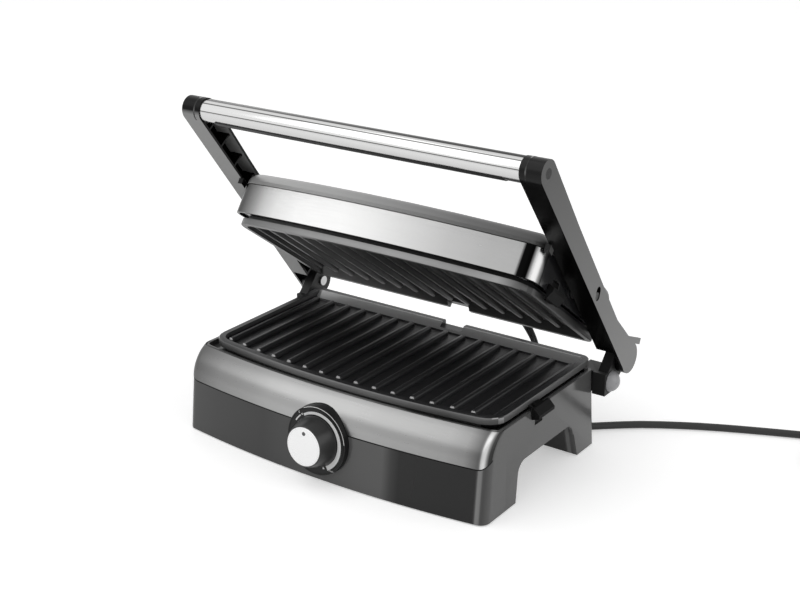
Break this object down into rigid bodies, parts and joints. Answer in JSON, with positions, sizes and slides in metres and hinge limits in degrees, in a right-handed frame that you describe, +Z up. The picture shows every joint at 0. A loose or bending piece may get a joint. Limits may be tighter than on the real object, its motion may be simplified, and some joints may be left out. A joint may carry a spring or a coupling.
{
  "type": "electric contact grill",
  "caption": "Countertop electric contact grill: ribbed plate in a dark base with a heat dial, and a ribbed, domed lid that floats between two arms joined by a tube handle",
  "frame": {"origin": "middle of the bounding box at table height, without the free cord, coil, tie and plug", "axes": "+Z up, +X to the object's left as it faces the viewer's right, -Y the dial side"},
  "size_m": [0.6268, 0.3614, 0.3088],
  "materials": {
    "housing_gloss": "glossy",
    "trim_metal": "metallic, semi-gloss",
    "plastic_black": "satin",
    "arm_gloss": "glossy",
    "rubber": "matte",
    "screw_steel": "satin",
    "pan_steel": "bright",
    "plate_coating": "dark non-stick coating, fine grain",
    "heater_steel": "satin",
    "thermostat_body": "matte",
    "scale_print": "satin with light printing",
    "terminal_plastic": "satin",
    "wire_sleeve": "satin",
    "cord_black": "matte",
    "prong_metal": "bright",
    "spring_steel": "bright",
    "knob_black": "satin",
    "cap_metal": "brushed",
    "button_grey": "satin",
    "tube_chrome": "polished",
    "lid_gloss": "glossy",
    "band_metal": "metallic, semi-gloss",
    "cover_satin": "satin grey"
  },
  "bodies": {
    "base": {"base_housing": "housing_gloss", "front_trim": "trim_metal", "bottom_cover": "plastic_black", "rubber_feet": "rubber", "bottom_screws": "screw_steel", "lower_reflector": "pan_steel", "lower_grill_plate": "plate_coating", "lower_heating_element": "heater_steel", "lower_element_clips": "screw_steel", "thermostat": "thermostat_body", "thermostat_bracket": "screw_steel", "thermostat_nut": "screw_steel", "dial_boss": "plastic_black", "dial_scale": "scale_print", "thermal_fuse": "thermostat_body", "terminal_block": "terminal_plastic", "base_wiring": "wire_sleeve", "cord_gland": "plastic_black", "cord_strain_relief": "cord_black", "power_cord": "cord_black", "cord_coil": "cord_black", "cord_tie": "cord_black", "power_plug": "cord_black", "plug_prongs": "prong_metal", "hinge_bracket_left": "plastic_black", "hinge_bracket_right": "plastic_black", "hinge_pins": "screw_steel", "bracket_screws": "screw_steel", "release_spring": "spring_steel", "lower_latch_spring": "spring_steel", "wire_loom": "cord_black", "loom_bush_base": "plastic_black"},
    "knob": {"control_shaft": "screw_steel", "knob": "knob_black", "knob_cap": "cap_metal"},
    "release_button": {"hinge_release_button": "button_grey"},
    "lower_latch": {"lower_plate_latch": "plastic_black"},
    "arms": {"arm_left": "arm_gloss", "arm_right": "arm_gloss", "handle_tube": "tube_chrome", "handle_inlay": "plastic_black", "handle_collar_left": "plastic_black", "handle_collar_right": "plastic_black", "handle_screws": "screw_steel", "handle_caps": "plastic_black"},
    "pivot": {"lid_pivot_shaft": "screw_steel", "pivot_clips": "screw_steel"},
    "lid": {"lid_housing": "lid_gloss", "lid_band": "band_metal", "lid_cover": "cover_satin", "upper_reflector": "pan_steel", "upper_grill_plate": "plate_coating", "upper_heating_element": "heater_steel", "upper_element_clips": "screw_steel", "upper_thermal_fuse": "thermostat_body", "lid_screws": "screw_steel", "upper_latch_spring": "spring_steel", "loom_bush_lid": "plastic_black"},
    "upper_latch": {"upper_plate_latch": "plastic_black"}
  },
  "joints": [
    {"name": "arm_hinge", "type": "hinge", "parent": "base", "child": "arms", "pos_m": [0, 0.11206, 0.0835], "axis": [-1, 0, 0], "range_deg": [-35.65, 140], "deforming": ["wire_loom"]},
    {"name": "lid_float", "type": "slide", "parent": "arms", "child": "pivot", "axis": [0, 0.2924, 0.9563], "range_m": [0, 0.005]},
    {"name": "lid_tilt", "type": "hinge", "parent": "pivot", "child": "lid", "pos_m": [0, 0.04143, 0.16603], "axis": [1, 0, 0], "range_deg": [0, 12]},
    {"name": "knob_turn", "type": "hinge", "parent": "base", "child": "knob", "pos_m": [0, -0.11394, 0.039], "axis": [0, 0.9962, -0.0872], "range_deg": [-75, 135]},
    {"name": "release_press", "type": "slide", "parent": "base", "child": "release_button", "axis": [-1, 0, 0], "range_m": [0, 0.003], "stiffness_N_per_m": 600, "springref_m": -0.003, "deforming": ["release_spring"]},
    {"name": "lower_latch_pull", "type": "slide", "parent": "base", "child": "lower_latch", "axis": [1, 0, 0], "range_m": [0, 0.003], "stiffness_N_per_m": 700, "springref_m": -0.003, "deforming": ["lower_latch_spring"]},
    {"name": "upper_latch_pull", "type": "slide", "parent": "lid", "child": "upper_latch", "axis": [1, 0, 0], "range_m": [0, 0.003], "stiffness_N_per_m": 700, "springref_m": -0.003, "deforming": ["upper_latch_spring"]}
  ]
}
